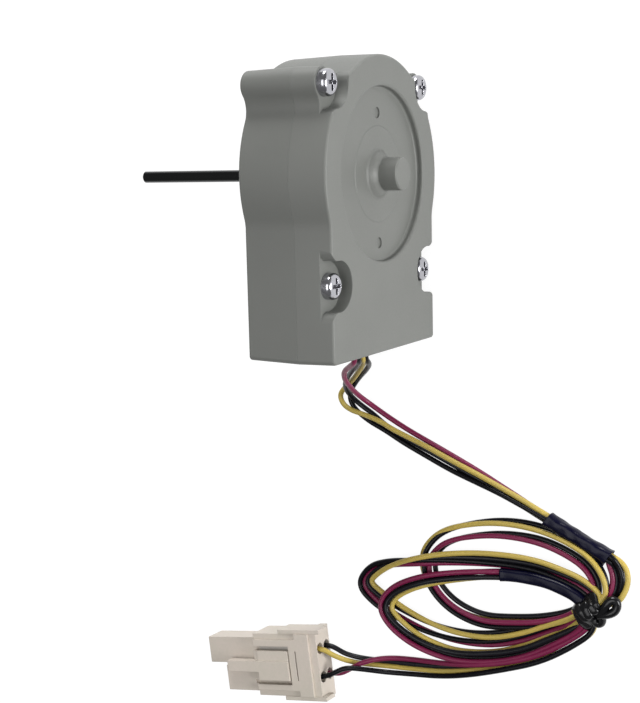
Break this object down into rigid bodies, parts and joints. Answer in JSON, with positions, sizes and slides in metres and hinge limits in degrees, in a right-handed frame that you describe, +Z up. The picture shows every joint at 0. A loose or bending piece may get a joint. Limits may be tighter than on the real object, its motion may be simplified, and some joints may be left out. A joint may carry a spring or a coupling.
{
  "type": "evaporator fan motor",
  "caption": "Small flat brushless fan motor in a moulded two part housing, with a plain free shaft, wire leads tied in a coil and a white plug.",
  "frame": {"origin": "on the shaft axis, where the free shaft leaves the end face of the rear boss", "axes": "+Y along the shaft towards its free tip, +Z up from the surface the motor lies on, +X towards the housing's round end"},
  "size_m": [0.1721, 0.1265, 0.0565],
  "materials": {
    "housing": "fine spark-eroded grey moulding",
    "screws": "bright zinc",
    "shaft": "ground and polished",
    "hub": "moulded",
    "magnet": "ground ferrite",
    "spring_steel": "phosphated",
    "washer": "smooth nylon",
    "bronze": "sintered and oiled",
    "laminations": "stamped stack",
    "insulator": "moulded",
    "copper": "enamelled wire",
    "tinned": "tin plated",
    "board": "green solder mask",
    "can": "sleeved can",
    "black_plastic": "moulded",
    "wire_maroon": "smooth insulation",
    "wire_grey": "smooth insulation",
    "wire_yellow": "smooth insulation",
    "wire_black": "smooth insulation",
    "sleeve": "wrapped film",
    "tie": "soft twist tie",
    "plug": "moulded nylon"
  },
  "bodies": {
    "root": {"rear_shell": "housing", "front_shell": "housing", "case_screws": "screws", "shaft_washer": "washer", "rear_thrust_washer": "washer", "front_thrust_washer": "washer", "rear_bearing": "bronze", "front_bearing": "bronze", "rear_bearing_clip": "spring_steel", "front_bearing_clip": "spring_steel", "thrust_pad": "washer", "stator_core": "laminations", "front_insulator": "insulator", "rear_insulator": "insulator", "stator_windings": "copper", "winding_pins": "tinned", "circuit_board": "board", "capacitor": "can", "driver_chip": "black_plastic", "hall_sensor": "black_plastic", "inner_leads": "wire_black", "lead_maroon": "wire_maroon", "lead_grey": "wire_grey", "lead_yellow": "wire_yellow", "lead_black": "wire_black", "tail_maroon": "wire_maroon", "tail_grey": "wire_grey", "tail_yellow": "wire_yellow", "tail_black": "wire_black", "lead_sleeve": "sleeve", "wire_coil": "wire_black", "coil_sleeve": "sleeve", "coil_tie": "tie", "plug_housing": "plug", "plug_retainer": "plug", "plug_terminals": "tinned"},
    "rotor": {"shaft": "shaft", "rotor_hub": "hub", "rotor_magnet": "magnet", "retaining_ring": "spring_steel"}
  },
  "joints": [
    {"name": "rotor_spin", "type": "hinge", "parent": "root", "child": "rotor", "pos_m": [0, 0, 0], "axis": [0, 1, 0], "continuous": true}
  ]
}
